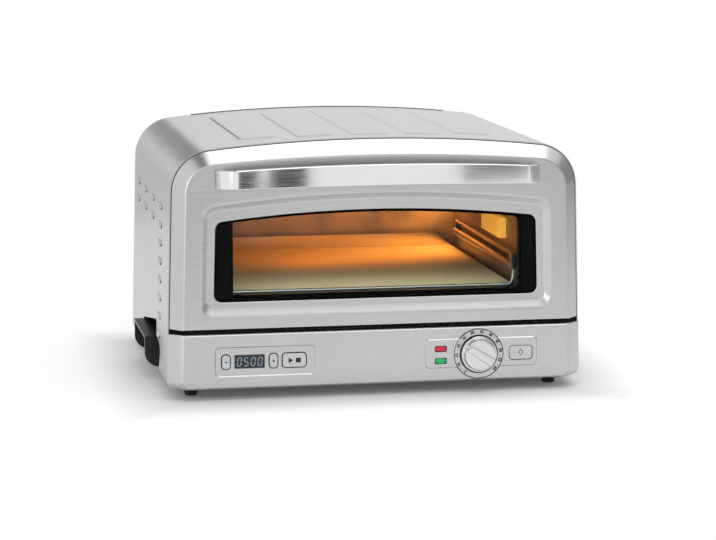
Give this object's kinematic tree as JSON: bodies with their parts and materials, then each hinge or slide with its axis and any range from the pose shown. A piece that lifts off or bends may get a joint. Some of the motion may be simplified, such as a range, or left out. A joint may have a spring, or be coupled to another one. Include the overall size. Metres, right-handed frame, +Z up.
{
  "type": "countertop pizza oven",
  "caption": "Countertop electric pizza oven with a domed steel shell, a drop-down glass door, a pizza stone and a control fascia with a dial and push buttons.",
  "frame": {"origin": "on the table, under the middle of the bounding box", "axes": "-Y is the front with the door, +Z is up, +X is to the right seen from the front"},
  "size_m": [0.4958, 0.44, 0.2907],
  "materials": {
    "brushed_stainless": "brushed, fine horizontal grain",
    "polished_stainless": "polished",
    "coated_steel": "satin heat resistant coating",
    "aluminised_steel": "matt aluminised sheet",
    "zinc_steel": "zinc plated",
    "glass_clear": "clear tempered glass",
    "glass_bordered": "tempered glass with a printed black border",
    "stone": "fired cordierite, matt",
    "ceramic": "steatite",
    "wool": "ceramic fibre blanket",
    "heater_sheath": "oxidised sheath",
    "black_plastic": "moulded, fine texture",
    "black_rubber": "moulded",
    "silver_plastic": "satin silver plastic",
    "smoked_plastic": "smoked window",
    "red_plastic": "translucent",
    "green_plastic": "translucent",
    "lamp_glass": "clear oven lamp glass",
    "circuit_board": "solder resist"
  },
  "bodies": {
    "oven": {"outer_shell": "brushed_stainless", "rear_panel": "zinc_steel", "base_pan": "zinc_steel", "mouth_frame": "coated_steel", "control_fascia": "brushed_stainless", "cavity_floor": "aluminised_steel", "cavity_top": "aluminised_steel", "cavity_left": "aluminised_steel", "cavity_right": "aluminised_steel", "cavity_back": "aluminised_steel", "insulation_blanket": "wool", "upper_heater": "heater_sheath", "lower_heater": "heater_sheath", "heater_terminals": "ceramic", "rack_rail_left": "polished_stainless", "rack_rail_right": "polished_stainless", "stone_carrier": "polished_stainless", "lamp_housing": "zinc_steel", "lamp_lens": "lamp_glass", "lamp_bulb": "lamp_glass", "thermostat_probe": "polished_stainless", "door_seal": "black_rubber", "hinge_bracket_left": "zinc_steel", "hinge_bracket_right": "zinc_steel", "hinge_pins": "zinc_steel", "control_board": "circuit_board", "display_module": "black_plastic", "display_lens": "smoked_plastic", "button_switches": "black_plastic", "power_lens": "red_plastic", "ready_lens": "green_plastic", "indicator_leds": "silver_plastic", "dial_ring": "polished_stainless", "dial_control": "black_plastic", "foot_front_left": "black_rubber", "foot_front_right": "black_rubber", "foot_rear_left": "black_rubber", "foot_rear_right": "black_rubber", "foot_screws": "zinc_steel", "side_handle_left": "black_plastic", "side_handle_right": "black_plastic", "cord_gland": "black_rubber", "rear_screws": "zinc_steel"},
    "door": {"door_skin": "brushed_stainless", "door_glass": "glass_bordered", "door_inner_panel": "coated_steel", "door_inner_glass": "glass_clear", "door_handle": "brushed_stainless", "handle_pads": "black_plastic", "handle_screws": "zinc_steel", "door_hinge_left": "zinc_steel", "door_hinge_right": "zinc_steel"},
    "dial": {"temperature_dial": "silver_plastic", "dial_shaft": "zinc_steel"},
    "minus_key": {"minus_button": "silver_plastic"},
    "plus_key": {"plus_button": "silver_plastic"},
    "start_key": {"start_button": "silver_plastic"},
    "light_key": {"light_button": "silver_plastic"},
    "stone": {"pizza_stone": "stone"}
  },
  "joints": [
    {"name": "door_hinge", "type": "hinge", "parent": "oven", "child": "door", "pos_m": [0, -0.17, 0.092], "axis": [1, 0, 0], "range_deg": [0, 90]},
    {"name": "dial_turn", "type": "hinge", "parent": "oven", "child": "dial", "pos_m": [0.1153, -0.18, 0.0432], "axis": [0, 1, 0], "range_deg": [-105, 180]},
    {"name": "minus_press", "type": "slide", "parent": "oven", "child": "minus_key", "axis": [0, 1, 0], "range_m": [0, 0.001], "stiffness_N_per_m": 400, "springref_m": -0.0015},
    {"name": "plus_press", "type": "slide", "parent": "oven", "child": "plus_key", "axis": [0, 1, 0], "range_m": [0, 0.001], "stiffness_N_per_m": 400, "springref_m": -0.0015},
    {"name": "start_press", "type": "slide", "parent": "oven", "child": "start_key", "axis": [0, 1, 0], "range_m": [0, 0.001], "stiffness_N_per_m": 400, "springref_m": -0.0015},
    {"name": "light_press", "type": "slide", "parent": "oven", "child": "light_key", "axis": [0, 1, 0], "range_m": [0, 0.001], "stiffness_N_per_m": 400, "springref_m": -0.0015},
    {"name": "stone_lift", "type": "slide", "parent": "oven", "child": "stone", "axis": [0, 0, 1], "range_m": [0, 0.014]}
  ]
}
